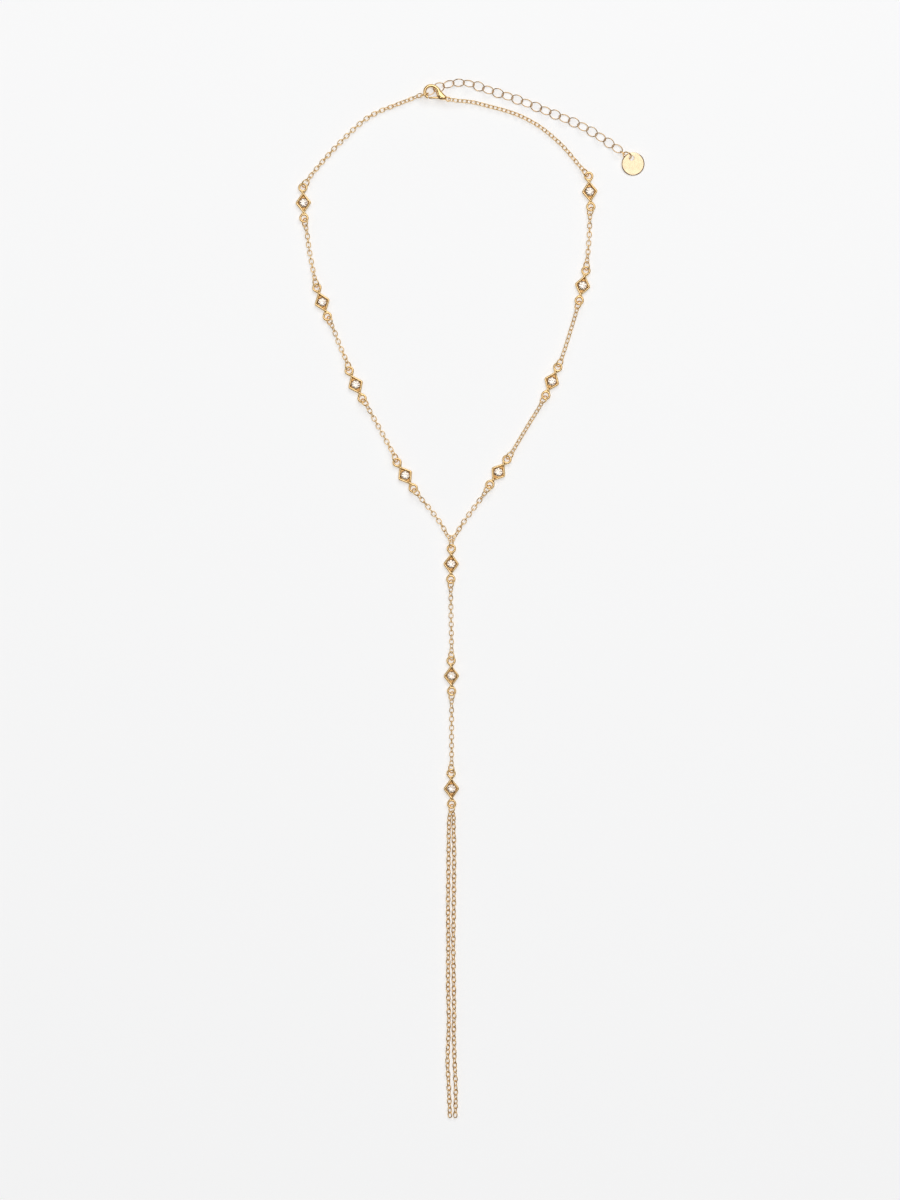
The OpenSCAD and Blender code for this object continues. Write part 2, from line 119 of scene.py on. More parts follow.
# The last meeting, which stays empty, lies this far before the end of the route
TASSEL_END_ROOM = 0.4
# Tassel links lean to either side by turns, and sway about that: by so many degrees at most, by so
# many radians on at each link and at the other strand, and in full after so many links
TASSEL_LEANS = (-47, 45)
TASSEL_SWAY = 16
SWAY_PER_LINK = 0.9
SWAY_BETWEEN_STRANDS = 2
SWAY_FULL_AFTER = 6

# Extender: where its first links meet, how far each is rolled, and the route of the others
EXTENDER_START = [
    (-16.123, 184.846, 0.847), (-12.62, 186.156, 0.853), (-9.118, 187.465, 0.947),
    (-5.53, 188.36, 1.49), (-1.79, 188.48, 1.47), (1.87, 187.83, 1.1)]
EXTENDER_ROLLS = [-21.9, 23.2, -33.1, 49.2, -36.7]
EXTENDER_ROLL = 28
# Clear room between a link's wire and the next one's
LINK_PLAY = 0.12
EXTENDER_ROUTE = [
    (7.4, 185.75, 1.05), (14.8, 183.4, 1.05), (22.1, 180.7, 1.05), (29.2, 177.8, 1.05),
    (36.1, 175, 1.05), (42.6, 172, 1.05), (49.3, 167.8, 1.05), (52.5, 165.5, 1.2),
    (55.57, 163.47, 1.47)]

# Lobster clasp: middle of its opening, its height, its turn, and its lever's pin and tip
CLASP_PLACE = Vector((-13.7, 184.9, 2.27))
CLASP_TURN = -22.7
PIVOT = Vector((4.1, -0.55, 0))
LEVER_TIP = Vector((0.04, -2.274, 0))
LEVER_SWING = 24
# Riveted pin: height and radius from one domed head to the other, and the lever's wider bore
PIN_PROFILE = [
    (-0.86, 0.08), (-0.84, 0.2), (-0.78, 0.25), (0.78, 0.25), (0.84, 0.2), (0.86, 0.08)]
BORE_RADIUS = 0.3
# Tail eye: its middle's distance from the opening's, its line's radius and its bar's radius
TAIL_EYE = (6.8, 0.775, 0.225)
# Centre line of the clasp's body and hook, with its half width and half height at each point
CLASP_LINE = [
    (5.98, 0.08, 0.5, 0.42), (5.8, 0.07, 0.78, 0.62), (5.2, 0.0, 0.98, 0.8), (4.3, 0.0, 1.26, 0.88),
    (3.4, 0.3, 1.33, 0.9), (2.65, 0.95, 1.08, 0.88), (2.05, 1.62, 0.85, 0.8),
    (1.25, 2.1, 0.72, 0.72), (0.3, 2.29, 0.65, 0.66), (-0.8, 2.15, 0.63, 0.64),
    (-1.7, 1.52, 0.62, 0.62), (-2.22, 0.6, 0.61, 0.61), (-2.27, -0.3, 0.6, 0.6),
    (-1.93, -1.22, 0.58, 0.59), (-1.24, -1.91, 0.56, 0.57), (-0.55, -2.21, 0.54, 0.55),
    (-0.22, -2.265, 0.47, 0.48), (-0.1, -2.27, 0.28, 0.3),
]

# Disc tag: middle of its hole and its turn in degrees, and how far its own middle is from the hole
TAG_HOLE = (Vector((59.2, 161, 1.4)), (10, 0, 15))
TAG_RADIUS = 4.2
TAG_THICKNESS = 0.4
TAG_HOLE_RADIUS = 0.9
TAG_HOLE_REACH = 2.15

# Points closer than this are one point, in millimetres
NO_LENGTH = 1e-3
# Edges sharper than this stay crisp, on cast pieces and on bent wire, in degrees
CAST_EDGE = 38
WIRE_EDGE = 80

# Softboxes: name, place in metres, width, height and radiance
SOFTBOXES = (
    ("overhead", (0.25, 0.38, 2.2), 1.5, 1.5, 1.85),
    ("far_side", (0.45, 1.75, 1.9), 2.4, 1.2, 1.9),
    ("left_side", (-1.9, 0.0, 1.5), 1.1, 1.4, 0.9),
    ("near_fill", (0.4, -2.3, 1.3), 1.2, 0.7, 0.9),
)
ROOM_COLOUR = (1, 0.8, 0.58, 1)
ROOM_STRENGTH = 0.15
# Half the paper's side, and the camera's height over it, in metres
PAPER_REACH = 6
CAMERA_HEIGHT = 1.0
# Height of what the photograph shows and its middle in the frame, in millimetres
VIEW_HEIGHT = 436.8
VIEW_MIDDLE = (-7.384, -0.478)


def linear(hex_colour):
    """Turns an sRGB hex colour into the linear values that shaders take."""
    channels = [int(hex_colour[i:i + 2], 16) / 255 for i in (1, 3, 5)]
    return tuple(c / 12.92 if c <= 0.04045 else ((c + 0.055) / 1.055) ** 2.4 for c in channels)


class NecklaceColours(bpy.types.PropertyGroup):
    """Colours of the finishes."""

    gold: FloatVectorProperty(
        name="Gold", description="Bright colour of the gold plating", subtype="COLOR", min=0, max=1,
        default=linear("#f6dcab"))
    warm_gold: FloatVectorProperty(
        name="Warm gold", description="Deeper tone that the plating drifts to", subtype="COLOR",
        min=0, max=1, default=linear("#edc588"))
    extender: FloatVectorProperty(
        name="Extender", description="Paler plating of the extender chain", subtype="COLOR",
        min=0, max=1, default=linear("#ecd2a8"))
    tag: FloatVectorProperty(
        name="Tag", description="Pale plating of the disc tag", subtype="COLOR", min=0, max=1,
        default=linear("#ead6b6"))
    foil: FloatVectorProperty(
        name="Foil", description="Mirror foil behind the crystals", subtype="COLOR", min=0, max=1,
        default=linear("#eee8e1"))
    paper: FloatVectorProperty(
        name="Paper", description="Paper that the necklace lies on", subtype="COLOR", min=0, max=1,
        default=linear("#f2f2f2"))


class NecklaceSizes(bpy.types.PropertyGroup):
    """Sizes of the pieces that this script makes."""

    link_length: FloatProperty(
        name="Link length", description="Outer length of a fine link", unit="LENGTH",
        default=2.47 * MM)
    link_width: FloatProperty(
        name="Link width", description="Outer width of a fine link", unit="LENGTH",
        default=1.85 * MM)
    link_wire: FloatProperty(
        name="Link wire", description="Wire thickness of a fine link", unit="LENGTH",
        default=0.35 * MM)
    tassel_link_wire: FloatProperty(
        name="Tassel link wire", description="Wire thickness of a tassel link, heavier than the "
        "other chains' as it looks in the photograph", unit="LENGTH", default=0.42 * MM)
    extender_length: FloatProperty(
        name="Extender link length", description="Outer length of an extender link",
        unit="LENGTH", default=4.6 * MM)
    extender_width: FloatProperty(
        name="Extender link width", description="Outer width of an extender link",
        unit="LENGTH", default=3.7 * MM)
    extender_wire: FloatProperty(
        name="Extender wire", description="Wire thickness of an extender link", unit="LENGTH",
        default=0.38 * MM)
    jump_outer: FloatProperty(
        name="Jump ring", description="Outer diameter of a jump ring", unit="LENGTH",
        default=3.6 * MM)
    jump_wire: FloatProperty(
        name="Jump ring wire", description="Wire thickness of a jump ring", unit="LENGTH",
        default=0.5 * MM)


# Materials


def add(material, kind, settings=None, links=None):
    """Adds a node with its settings and its incoming links."""
    node = material.node_tree.nodes.new(kind)
    for name, value in (settings or {}).items():
        if name in node.inputs:
            node.inputs[name].default_value = value
        else:
            setattr(node, name, value)
    for name, socket in (links or {}).items():
        material.node_tree.links.new(socket, node.inputs[name])
    return node


def bare_material(name):
    """A material with an empty node tree and its output."""
    material = bpy.data.materials.new(name)
    material.use_nodes = True
    material.node_tree.nodes.clear()
    return material, add(material, "ShaderNodeOutputMaterial")


def plated_brass(name, bright, deep, roughness, grain_mm, relief):
    """Plated brass: a mirror metal whose polish leaves faint waves, and whose plating drifts in
    tone."""
    material, output = bare_material(name)
    place = add(material, "ShaderNodeTexCoord")
    # Plating thickness drifts over about 5 mm, so neighbouring pieces differ a little in warmth
    drift = add(material, "ShaderNodeTexNoise", {"Scale": 1 / (5 * MM), "Detail": 2.0},
                {"Vector": place.outputs["Object"]})
    tone = add(material, "ShaderNodeMix", {"data_type": "RGBA"}, {"Factor": drift.outputs["Fac"]})
    for socket, colour in zip([s for s in tone.inputs if s.type == "RGBA"], (bright, deep)):
        socket.default_value = (*colour, 1)
    # Tumble polish leaves fine dull patches; real grain is finer and is drawn as coarse as shows
    polish = add(material, "ShaderNodeTexNoise", {"Scale": 1 / (grain_mm * MM), "Detail": 3.0},
                 {"Vector": place.outputs["Object"]})
    gloss = add(material, "ShaderNodeMapRange",
                {"To Min": roughness * 0.75, "To Max": roughness * 1.35},
                {"Value": polish.outputs["Fac"]})
    waves = add(material, "ShaderNodeBump", {"Strength": relief, "Distance": 0.02 * MM},
                {"Height": polish.outputs["Fac"]})
    metal = add(material, "ShaderNodeBsdfPrincipled", {"Metallic": 1.0}, {
        "Base Color": [s for s in tone.outputs if s.type == "RGBA"][0],
        "Roughness": gloss.outputs["Result"], "Normal": waves.outputs["Normal"]})
    material.node_tree.links.new(metal.outputs["BSDF"], output.inputs["Surface"])
    return material


def cut_crystal():
    """Lead crystal: clear polished facets that bend the light on to the foil behind."""
    material, output = bare_material("cut_lead_crystal")
    place = add(material, "ShaderNodeTexCoord")
    # Handling leaves the faintest haze, in patches of about 1 mm
    haze = add(material, "ShaderNodeTexNoise", {"Scale": 1 / (1 * MM)},
               {"Vector": place.outputs["Object"]})
    gloss = add(material, "ShaderNodeMapRange", {"To Min": 0.01, "To Max": 0.04},
                {"Value": haze.outputs["Fac"]})
    glass = add(material, "ShaderNodeBsdfPrincipled", {
        "Base Color": (*linear("#fbfcff"), 1), "Transmission Weight": 1.0, "IOR": 1.57},
        {"Roughness": gloss.outputs["Result"]})
    material.node_tree.links.new(glass.outputs["BSDF"], output.inputs["Surface"])
    return material


def mirror_foil(colour):
    """Silver foil laid behind the stone: a soft mirror, a little crinkled."""
    material, output = bare_material("silver_foil_back")
    place = add(material, "ShaderNodeTexCoord")
    crinkle = add(material, "ShaderNodeTexNoise", {"Scale": 1 / (0.4 * MM), "Detail": 2.0},
                  {"Vector": place.outputs["Object"]})
    gloss = add(material, "ShaderNodeMapRange", {"To Min": 0.08, "To Max": 0.2},
                {"Value": crinkle.outputs["Fac"]})
    foil = add(material, "ShaderNodeBsdfPrincipled",
               {"Base Color": (*colour, 1), "Metallic": 1.0},
               {"Roughness": gloss.outputs["Result"]})
    material.node_tree.links.new(foil.outputs["BSDF"], output.inputs["Surface"])
    return material


def lit_paper(colour):
    """Matt photographic paper lit through from behind, which keeps the shadows soft."""
    material, output = bare_material("matt_studio_paper")
    place = add(material, "ShaderNodeTexCoord")
    # Paper fibres of about 0.3 mm
    fibre = add(material, "ShaderNodeTexNoise", {"Scale": 1 / (0.3 * MM), "Detail": 2.0},
                {"Vector": place.outputs["Object"]})
    tooth = add(material, "ShaderNodeBump", {"Strength": 0.05, "Distance": 0.01 * MM},
                {"Height": fibre.outputs["Fac"]})
    paper = add(material, "ShaderNodeBsdfPrincipled", {
        "Base Color": (*colour, 1), "Roughness": 0.95, "Specular IOR Level": 0.1,
        "Emission Color": (0.87, 0.93, 1, 1), "Emission Strength": 0.46},
        {"Normal": tooth.outputs["Normal"]})
    material.node_tree.links.new(paper.outputs["BSDF"], output.inputs["Surface"])
    return material


def finish_named(name):
    """The material of that name, made at its first use from the scene's colours."""
    made = bpy.data.materials.get(name)
    if made:
        return made
    colours = bpy.context.scene.necklace_colours
    gold, warm = tuple(colours.gold), tuple(colours.warm_gold)
    light, pale = tuple(colours.extender), tuple(colours.tag)
    makers = {
        # Drawn wire, bent and tumble polished: bright, with faint waves
        "gold_plated_wire": lambda n: plated_brass(n, gold, warm, 0.2, 0.5, 0.25),
        # Cast and polished brass: bright on the raised strands, which get no painted shade
        "gold_plated_casting": lambda n: plated_brass(n, gold, warm, 0.21, 0.6, 0.2),
        # The polish can't reach a casting's recess, so it is duller; its darker, deeper gold is
        # painted shade for the shade that falls in the recess
        "dull_recess_painted_shade": lambda n: plated_brass(n, warm, linear("#c98f4c"), 0.38, 0.25, 0.4),
        # The extender's own plating is thinner and paler
        "light_gold_plated_wire": lambda n: plated_brass(
            n, light, linear("#d8b282"), 0.2, 0.5, 0.25),
        # Stamped brass disc, pale plating, soft satin polish
        "pale_plated_disc": lambda n: plated_brass(n, pale, linear("#e2cba8"), 0.24, 1.2, 0.04),
        "cut_lead_crystal": lambda n: cut_crystal(),
        "silver_foil_back": lambda n: mirror_foil(tuple(colours.foil)),
        "matt_studio_paper": lambda n: lit_paper(tuple(colours.paper)),
    }
    return makers[name](name)


# Shapes


def across(place, along, wide, high):
    """Matrix that lays a unit circle across a path, that wide sideways and that high upwards."""
    along = along.normalized()
    side = Vector((0, 0, 1)).cross(along).normalized()
    over = along.cross(side)
    turn = Matrix((side * wide, over * high, along)).transposed().to_4x4()
    return Matrix.Translation(place) @ turn


def sweep(bm, stations, sides, closed=False):
    """Sweeps a circle through the stations' matrices, and closes or caps its ends."""
    made = bmesh.ops.create_circle(
        bm, cap_ends=not closed, radius=1, segments=sides, matrix=stations[0])["verts"]
    swept = list(made)
    ring = list({e for v in made for e in v.link_edges})
    for before, after in zip(stations, stations[1:]):
        made = bmesh.ops.extrude_edge_only(bm, edges=ring)["geom"]
        verts = [g for g in made if isinstance(g, bmesh.types.BMVert)]
        own = set(verts)
        ring = [g for g in made if isinstance(g, bmesh.types.BMEdge) and set(g.verts) <= own]
        bmesh.ops.transform(bm, matrix=after @ before.inverted(), verts=verts)
        swept += verts
    if closed:
        bmesh.ops.remove_doubles(bm, verts=swept, dist=NO_LENGTH)
    else:
        bmesh.ops.contextual_create(bm, geom=ring)
    return swept


def angles(count):
    """Angles of that many even steps once round."""
    return [2 * math.pi * k / count for k in range(count)]


def mesh_of(bm, name):
    """The mesh of a shape with its faces turned outwards. The shape itself is used up."""
    bmesh.ops.recalc_face_normals(bm, faces=bm.faces)
    mesh = bpy.data.meshes.new(name)
    bm.to_mesh(mesh)
    bm.free()
    return mesh


def path_stations(points, wide, high, closed=False):
    """Stations across a list of points, whose section is one size or a list of sizes."""
    last = len(points) - 1
    stations = []
    for i, point in enumerate(points):
        before = points[i - 1 if i or closed else 0]
        after = points[(i + 1) % len(points) if i < last or closed else last]
        w = wide[i] if isinstance(wide, list) else wide
        h = high[i] if isinstance(high, list) else high
        stations.append(across(point, after - before, w, h))
    return stations + stations[:1] if closed else stations


def soften(mesh, sharp_degrees):
    """Shades a mesh smooth, but for edges sharper than that and edges already marked sharp."""
    for polygon in mesh.polygons:
        polygon.use_smooth = True
    marked = [edge.index for edge in mesh.edges if edge.use_edge_sharp]
    mesh.set_sharp_from_angle(angle=math.radians(sharp_degrees))
    for index in marked:
        mesh.edges[index].use_edge_sharp = True


def finish_piece(name, bm, body, nodes, materials, sharp_degrees=CAST_EDGE):
    """Moves a shape in millimetres to its place in the frame and makes it a piece on a body. Edges
    sharper than the given angle stay crisp, and at 0 every facet does."""
    bmesh.ops.transform(
        bm, matrix=Matrix.Scale(MM, 4) @ Matrix.Translation(-MIDDLE), verts=bm.verts)
    mesh = mesh_of(bm, name)
    for material in materials:
        mesh.materials.append(finish_named(material))
    if sharp_degrees:
        soften(mesh, sharp_degrees)
    piece = bpy.data.objects.new(name, mesh)
    bpy.context.scene.collection.objects.link(piece)
    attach(piece, body)
    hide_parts(*nodes)
    return piece


def laid_copy(bm, template, place):
    """Adds a copy of a mesh to a shape, at a place."""
    before = len(bm.verts)
    bm.from_mesh(template)
    bm.verts.ensure_lookup_table()
    bmesh.ops.transform(bm, matrix=place, verts=bm.verts[before:])


def turned(x, y, degrees):
    """A flat vector turned by an angle."""
    a = math.radians(degrees)
    return Vector((x * math.cos(a) - y * math.sin(a), x * math.sin(a) + y * math.cos(a)))


def between(a, b, roll):
    """Matrix that puts a piece's middle between two points, along them and rolled about them."""
    d = b - a
    return (
        Matrix.Translation((a + b) / 2)
        @ Matrix.Rotation(math.atan2(d.y, d.x), 4, "Z")
        @ Matrix.Rotation(-math.atan2(d.z, math.hypot(d.x, d.y)), 4, "Y")
        @ Matrix.Rotation(math.radians(roll), 4, "X")
    )


def smooth(points, steps):
    """The smooth curve through a list of points that the CAD routes use too."""
    last = len(points) - 1
    curve = []
    for i in range(last):
        a, b, c, d = points[max(i - 1, 0)], points[i], points[i + 1], points[min(i + 2, last)]
        for k in range(steps):
            t = k / steps
            curve.append((
                (-t + 2 * t * t - t ** 3) * a + (2 - 5 * t * t + 3 * t ** 3) * b
                + (t + 4 * t * t - 3 * t ** 3) * c + (t ** 3 - t * t) * d) / 2)
    return curve + [points[last]]


def travelled(path):
    """Length along a curve at each of its points."""
    table = [0.0]
    for a, b in zip(path, path[1:]):
        table.append(table[-1] + (b - a).length)
    return table


def along(path, table, s):
    """The place at a length along a curve."""
    for i in range(len(path) - 1):
        if s <= table[i + 1]:
            return path[i].lerp(path[i + 1], (s - table[i]) / (table[i + 1] - table[i]))
    return path[-1].copy()


def wire_template(name, points, wire, sides, closed=True):
    """A mesh of one bent wire, in its own millimetres."""
    bm = bmesh.new()
    sweep(bm, path_stations(points, wire / 2, wire / 2, closed), sides, closed)
    return mesh_of(bm, name)


def link_template(extra=0.0):
    """One fine link of drawn wire: two bends and the short straights between them. Extra thickness
    of the wire goes half inwards and half outwards."""
    sizes = bpy.context.scene.necklace_sizes
    wire = sizes.link_wire / MM
    bend = (sizes.link_width / MM - wire) / 2 + extra / 4
    side = (sizes.link_length - sizes.link_width) / MM
    points = []
    for end in (1, -1):
        for k in range(7):
            a = math.radians(-90 + 30 * k) + (0 if end == 1 else math.pi)
            points.append(Vector((end * side / 2 + bend * math.cos(a), bend * math.sin(a), 0)))
    return wire_template("fine_link", points, wire + extra, 6)


def extender_template():
    """One extender link: an oval whose ends draw in a little towards where it meets the next."""
    sizes = bpy.context.scene.necklace_sizes
    wire = sizes.extender_wire / MM
    reach = (sizes.extender_length / MM - wire) / 2
    spread = (sizes.extender_width / MM - wire) / 2
    # An ellipse has a power of 2; a little less draws the ends in
    power = 1.88
    points = []
    for a in angles(36):
        c, s = math.cos(a), math.sin(a)
        r = (abs(c / reach) ** power + abs(s / spread) ** power) ** (-1 / power)
        points.append(Vector((r * c, r * s, 0)))
    return wire_template("extender_link", points, wire, 8)


def ring_template():
    """A jump ring with the hairline cut where it was opened."""
    sizes = bpy.context.scene.necklace_sizes
    wire = sizes.jump_wire / MM
    radius = (sizes.jump_outer / MM - wire) / 2
    # Half the cut's width in degrees, and the ring's steps from one side of it to the other
    cut, steps = 0.8, 28
    points = []
    for k in range(steps + 1):
        a = math.radians(90 + cut + (360 - 2 * cut) * k / steps)
        points.append(Vector((radius * math.cos(a), radius * math.sin(a), 0)))
    return wire_template("jump_ring", points, wire, 10, closed=False)


def run_meetings(start, finish, route):
    """Where the pieces of a drop chain meet between two settings' eyes."""
    path = smooth([start] + [Vector(p) for p in route] + [finish], 6)
    table = travelled(path)
    reach, height, next_height = EYE_MEETING
    free = table[-1] - 2 * reach - 2 * RING_STEP
    count = math.ceil(free / LINK_STEP)
    places = [reach] + [reach + RING_STEP + free * k / count for k in range(count + 1)]
    places.append(table[-1] - reach)
    last = len(places) - 1
    meetings = []
    for k, s in enumerate(places):
        rises = [
            height if n == 0 else max(CHAIN_HEIGHT, next_height - (n - 1) * FALL_PER_LINK)
            for n in (k, last - k)]
        meetings.append(along(path, table, s).to_3d() + Vector((0, 0, max(rises))))
    return meetings


def eye_place(setting, end):
    """Middle of a setting's upper eye, with an end of 1, or lower eye, with an end of -1."""
    x, y, turn = SETTINGS[setting]
    return Vector((x, y)) + turned(0, end * EYE_REACH, turn)


def strand_path():
    """Half of the setting's rim line, from the right corner across to the eye's far side."""
    corner = Vector((SIDE_CORNER + CORNER_PAST, 0))
    to_eye = math.hypot(corner.x, EYE_REACH)
    lean = math.atan2(corner.x, EYE_REACH) + math.asin(EYE_RADIUS / to_eye)
    way = Vector((-math.sin(lean), math.cos(lean)))
    reach = math.sqrt(to_eye ** 2 - EYE_RADIUS ** 2)
    return corner, way, reach, corner.x / math.sin(lean)


def setting_strands(bm):
    """The rim's four strands: each runs from a rounded side corner, over or under the other at the
    neck, and round into the far side of the eye."""
    corner, way, reach, crossing = strand_path()
    for side in (1, -1):
        line = []
        # Each long strand passes the side corner and ends in both eyes
        for end in (-1, 1):
            part = []
            for k in range(19):
                s = CORNER_ROUND + (reach - CORNER_ROUND) * k / 18
                lift = STRAND_LIFT * side * end * math.exp(-((s - crossing) / CROSSING_REACH) ** 2)
                p = corner + way * s
                part.append(
                    Vector((side * p.x, end * p.y, RIM_HEIGHT + max(lift, STRAND_SINK))))
            # On into the eye's own ring, where the strand's end is hidden
            start = corner + way * reach - Vector((0, EYE_REACH))
            a = math.atan2(start.y, start.x)
            for k in range(1, 5):
                turn = a - math.radians(9 * k)
                part.append(Vector((side * EYE_RADIUS * math.cos(turn),
                                    end * (EYE_REACH + EYE_RADIUS * math.sin(turn)), RIM_HEIGHT)))
            line = part[::-1] if end == -1 else line + corner_bend(side, corner, way) + part
        count = len(line)
        slim = [STRAND_RADIUS if 4 <= i < count - 4 else STRAND_END_RADIUS for i in range(count)]
        # A little lower than wide
        sweep(bm, path_stations(line, slim, [s * 0.97 for s in slim]), 12)


def corner_bend(side, corner, way):
    """Points that round the rim at a side corner."""
    points = []
    lower = corner + Vector((way.x, -way.y)) * CORNER_ROUND
    upper = corner + way * CORNER_ROUND
    for k in range(1, 6):
        t = k / 6
        p = lower * (1 - t) ** 2 + corner * 2 * t * (1 - t) + upper * t * t
        points.append(Vector((side * p.x, p.y, RIM_HEIGHT)))
    return points


def rounded_lozenge(half_width, half_length, least=0.0):
    """Outline of a lozenge with soft corners, no closer to its middle than a circle."""
    # A lozenge with sharp corners has a power of 1
    power = 1.14
    outline = []
    for a in angles(BODY_POINTS):
        r = (abs(math.cos(a) / half_width) ** power
             + abs(math.sin(a) / half_length) ** power) ** (-1 / power)
        r = max(r, least)
        outline.append((r * math.cos(a), r * math.sin(a)))
    return outline


def loop_at(bm, outline, height):
    """A closed loop of edges, started as a circle and moved to an outline."""
    verts = bmesh.ops.create_circle(bm, cap_ends=False, radius=1, segments=len(outline))["verts"]
    verts.sort(key=lambda v: math.atan2(v.co.y, v.co.x) % (2 * math.pi))
    # The first point of a circle may come out as a full turn
    if verts[-1].co.y > -1e-6 and verts[-1].co.x > 0.99:
        verts.insert(0, verts.pop())
    for v, (x, y) in zip(verts, outline):
        v.co = (x, y, height)
    return list({e for v in verts for e in v.link_edges})


def setting_body(bm):
    """The casting under the rim: a lozenge with a sunk floor, and a low collar round the stone."""
    def circle(radius):
        return [(radius * math.cos(a), radius * math.sin(a)) for a in angles(BODY_POINTS)]

    # Outline and height of each level: up the side, into the trough, over the collar to the seat
    levels = [
        (rounded_lozenge(2.2, 3.0), 0.0), (rounded_lozenge(2.42, 3.24), 0.1),
        (rounded_lozenge(2.5, 3.36), 0.45), (rounded_lozenge(2.46, 3.3), 1.1),
        (rounded_lozenge(2.2, 2.95, 1.8), 1.22), (rounded_lozenge(2.05, 2.8, 1.79), 0.8),
        (circle(1.76), 0.8), (circle(1.72), 1.28), (circle(1.64), 1.37), (circle(1.55), 1.33),
        (circle(1.54), 1.05), (circle(1.3), 1.04), (circle(1.24), 0.16),
    ]
    loops = [loop_at(bm, outline, height) for outline, height in levels]
    recess = set()
    for i, (a, b) in enumerate(zip(loops, loops[1:])):
        faces = bmesh.ops.bridge_loops(bm, edges=a + b)["faces"]
        # The polish reaches neither the trough nor the inside of the seat, so they are duller, and
        # their darker gold is painted shade
        if i in (4, 5) or i > 8:
            recess.update(faces)
    bmesh.ops.contextual_create(bm, geom=loops[0])
    recess.update(bmesh.ops.contextual_create(bm, geom=loops[-1])["faces"])
    for face in recess:
        face.material_index = 1


def setting_template():
    """One setting in its own millimetres."""
    bm = bmesh.new()
    setting_body(bm)
    for end in (1, -1):
        sweep(bm, path_stations(
            [Vector((EYE_RADIUS * math.cos(a), end * EYE_REACH + EYE_RADIUS * math.sin(a),
                     RIM_HEIGHT)) for a in angles(40)],
            EYE_BAR / 2, EYE_BAR / 2, closed=True), 14, closed=True)
    setting_strands(bm)
    return mesh_of(bm, "setting_template")


def stone_template():
    """A round brilliant: table, stars, kites and girdle facets above, mains and halves below, which
    send light back up, and a small flat at its back."""
    # Radii of the facets' corners, and heights of the table, the girdle's top and the back
    table, star, half, culet = 0.56 * STONE_RADIUS, 1.13, 0.95, 0.34
    table_height, girdle_top, back = GIRDLE_HEIGHT + 0.55, GIRDLE_HEIGHT + 0.1, 0.2
    crown_slope = 0.45 / (STONE_RADIUS - table)
    pavilion_slope = (GIRDLE_HEIGHT - back) / (STONE_RADIUS - culet)
    points = []
    for k in range(8):
        a, b = math.radians(45 * k), math.radians(45 * k + 22.5)
        points += [
            Vector((table * math.cos(a), table * math.sin(a), table_height)),
            Vector((star * math.cos(b), star * math.sin(b),
                    table_height - crown_slope * (star * math.cos(math.radians(22.5)) - table))),
            Vector((half * math.cos(b), half * math.sin(b),
                    back + pavilion_slope * (half * math.cos(math.radians(22.5)) - culet))),
            Vector((culet * math.cos(a), culet * math.sin(a), back)),
        ]
    for k in range(16):
        a = math.radians(22.5 * k)
        x, y = STONE_RADIUS * math.cos(a), STONE_RADIUS * math.sin(a)
        points += [Vector((x, y, girdle_top)), Vector((x, y, GIRDLE_HEIGHT))]
    bm = bmesh.new()
    for point in points:
        bm.verts.new(point)
    bmesh.ops.convex_hull(bm, input=bm.verts)
    bmesh.ops.dissolve_limit(
        bm, angle_limit=math.radians(1), verts=bm.verts, edges=bm.edges)
    for face in bm.faces:
        # The foil covers all facets below the girdle
        face.material_index = 1 if face.calc_center_median().z < GIRDLE_HEIGHT - 0.01 else 0
    return mesh_of(bm, "stone_template")


def at_clasp():
    """Matrix from the clasp's own millimetres to its place."""
    return Matrix.Translation(CLASP_PLACE) @ Matrix.Rotation(math.radians(CLASP_TURN), 4, "Z")


def lever_slot():
    """The room in the clasp's body that its lever swings through."""
    # Radius round the pin, half height, half width beside the bar, and room beyond its tip
    head, half_height, half_width, past_tip = 0.84, 0.45, 0.5, 0.1
    bm = bmesh.new()
    bar = LEVER_TIP - PIVOT
    for height in (-half_height, half_height):
        for a in angles(16):
            bm.verts.new(PIVOT + Vector((head * math.cos(a), head * math.sin(a), height)))
        for swing in (0, LEVER_SWING / 2, LEVER_SWING):
            for edge in (-half_width, half_width):
                far = (bar.normalized() * (bar.length + past_tip)
                       + Vector((-bar.y, bar.x, 0)).normalized() * edge)
                far.rotate(Matrix.Rotation(math.radians(-swing), 3, "Z"))
                bm.verts.new(PIVOT + far + Vector((0, 0, height)))
    bmesh.ops.convex_hull(bm, input=bm.verts)
    return bpy.data.objects.new("lever_slot", mesh_of(bm, "lever_slot"))


def carved(bm, cutter):
    """The mesh of a shape with a cutter's room taken out of it. Points that the cut leaves closer
    than a micrometre are merged, and its many-sided faces are split so that they export closed."""
    solid = bpy.data.objects.new("carved", mesh_of(bm, "carved"))
    for o in (solid, cutter):
        bpy.context.scene.collection.objects.link(o)
    cut = solid.modifiers.new("room", "BOOLEAN")
    cut.operation, cut.solver, cut.object = "DIFFERENCE", "EXACT", cutter
    made = bpy.data.meshes.new_from_object(
        solid.evaluated_get(bpy.context.evaluated_depsgraph_get()))
    for o in (solid, cutter):
        bpy.data.objects.remove(o)
    clean = bmesh.new()
    clean.from_mesh(made)
    bmesh.ops.remove_doubles(clean, verts=clean.verts, dist=NO_LENGTH)
    bmesh.ops.triangulate(clean, faces=[f for f in clean.faces if len(f.verts) > 4])
    bmesh.ops.dissolve_degenerate(clean, dist=NO_LENGTH, edges=clean.edges)
    clean.to_mesh(made)
    clean.free()
    return made


def clasp_casting():
    """The clasp's body and hook as one smooth tapering bar, with the lever's slot cut through."""
    points = smooth([Vector(p) for p in CLASP_LINE], 4)
    line = [Vector((p[0], p[1], 0)) for p in points]
    bm = bmesh.new()
    sweep(bm, path_stations(line, [p[2] for p in points], [p[3] for p in points]), 24)
    return carved(bm, lever_slot())


def round_pin(bm, profile, sides):
    """A round bar on the lever's pivot, of that radius at each height."""
    stations = [
        Matrix.Translation(PIVOT + Vector((0, 0, height))) @ Matrix.Diagonal((radius, radius, 1, 1))
        for height, radius in profile]
    return sweep(bm, stations, sides)


